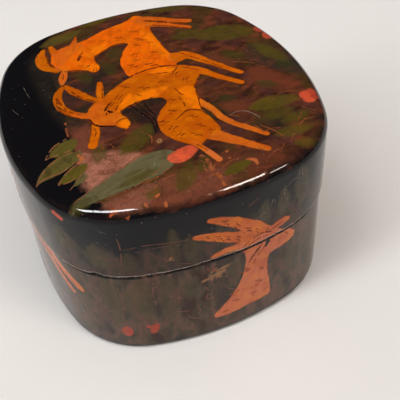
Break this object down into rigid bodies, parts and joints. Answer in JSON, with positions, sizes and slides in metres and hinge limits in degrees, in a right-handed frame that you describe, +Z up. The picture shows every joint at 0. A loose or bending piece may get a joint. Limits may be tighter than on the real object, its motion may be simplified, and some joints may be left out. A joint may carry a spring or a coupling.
{
  "type": "lidded trinket box",
  "caption": "Cushion-shaped papier mache trinket box with a lift-off lid over an inner collar, lacquered and painted all over.",
  "frame": {"origin": "middle of the underside of the base, on the table", "axes": "+Z up through the lid, +X across the shorter side, +Y across the longer side"},
  "size_m": [0.08, 0.0864, 0.0499],
  "materials": {
    "base_lacquer": "gloss",
    "collar_lacquer": "satin",
    "lid_lacquer": "gloss"
  },
  "bodies": {
    "base": {"base_floor": "base_lacquer", "base_wall": "base_lacquer", "base_collar": "collar_lacquer"},
    "lid": {"lid_wall": "lid_lacquer", "lid_top": "lid_lacquer"}
  },
  "joints": [
    {"name": "lid_lift", "type": "slide", "parent": "base", "child": "lid", "axis": [0, 0, 1], "range_m": [0, 0.06]}
  ]
}
